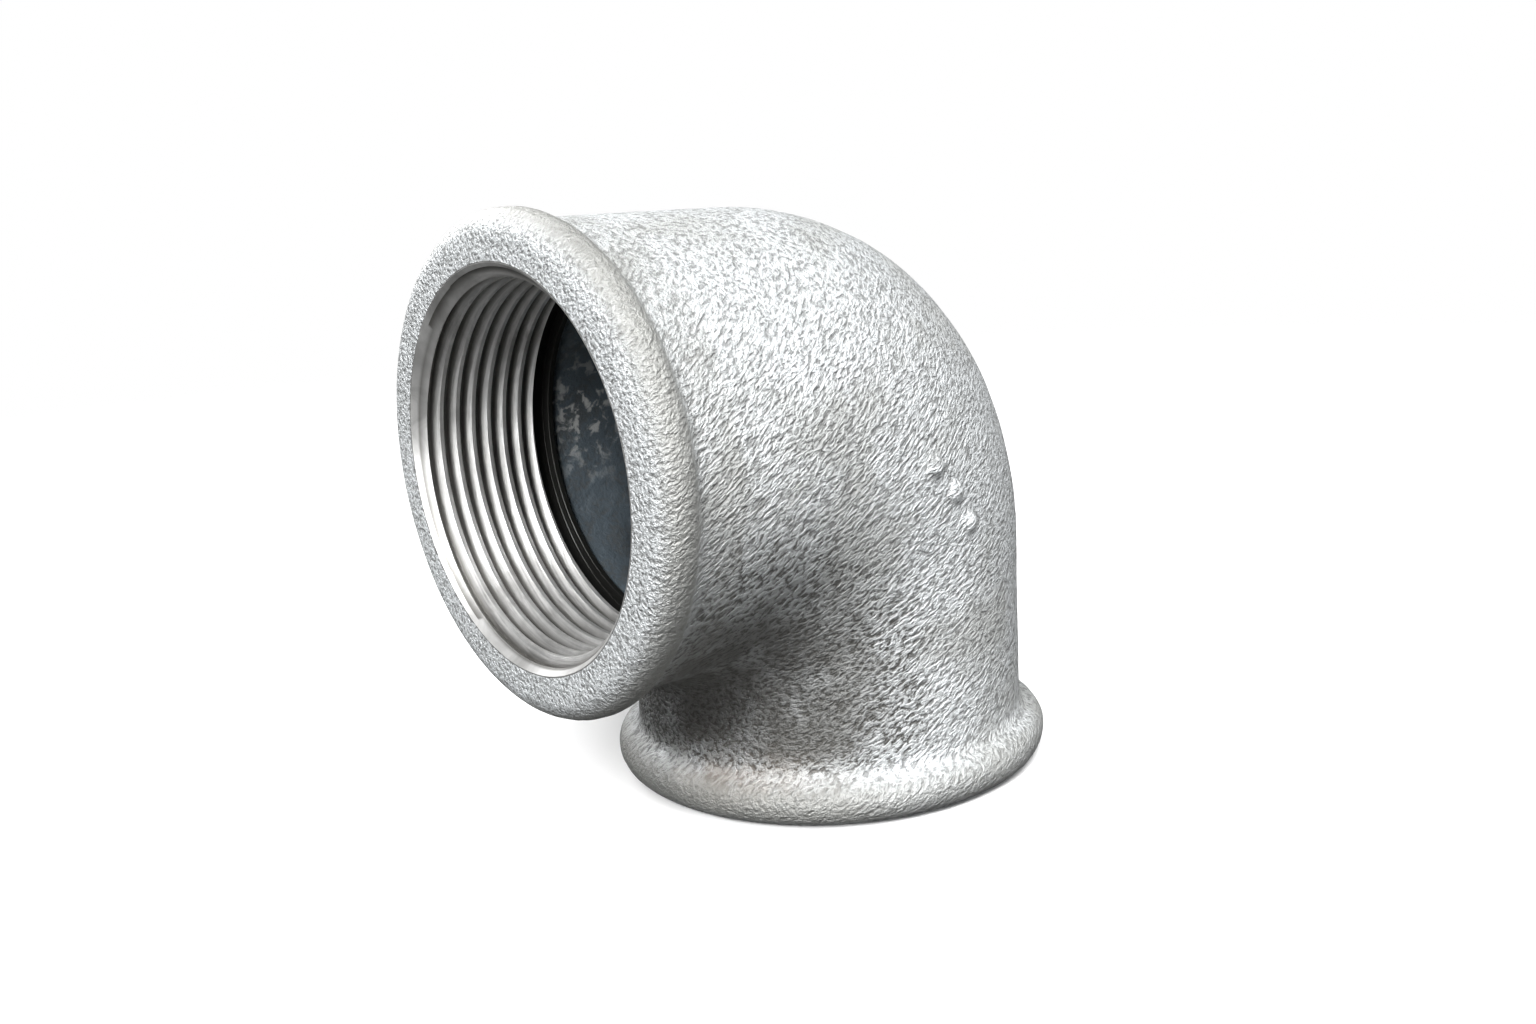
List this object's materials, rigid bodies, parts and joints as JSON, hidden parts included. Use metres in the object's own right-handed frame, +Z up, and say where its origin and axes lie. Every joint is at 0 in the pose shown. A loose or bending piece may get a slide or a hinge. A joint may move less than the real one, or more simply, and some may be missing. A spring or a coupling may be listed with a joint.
{
  "type": "pipe elbow",
  "caption": "Galvanised malleable iron 90 degree pipe elbow with beaded ends and parallel female pipe threads in both ports, cast in one piece.",
  "frame": {"origin": "centre of the lower port's end face, the flat ring that the elbow stands on", "axes": "+Z up along the lower port's axis into the fitting, -X out of the side port along its axis, Y across; the outside of the casting is symmetric about the plane Y = 0"},
  "size_m": [0.0784, 0.0608, 0.0784],
  "materials": {
    "galvanised_iron": "hot-dip galvanised, fine sand-cast texture outside, machined threads"
  },
  "bodies": {
    "root": {"elbow_casting": "galvanised_iron"}
  },
  "joints": []
}
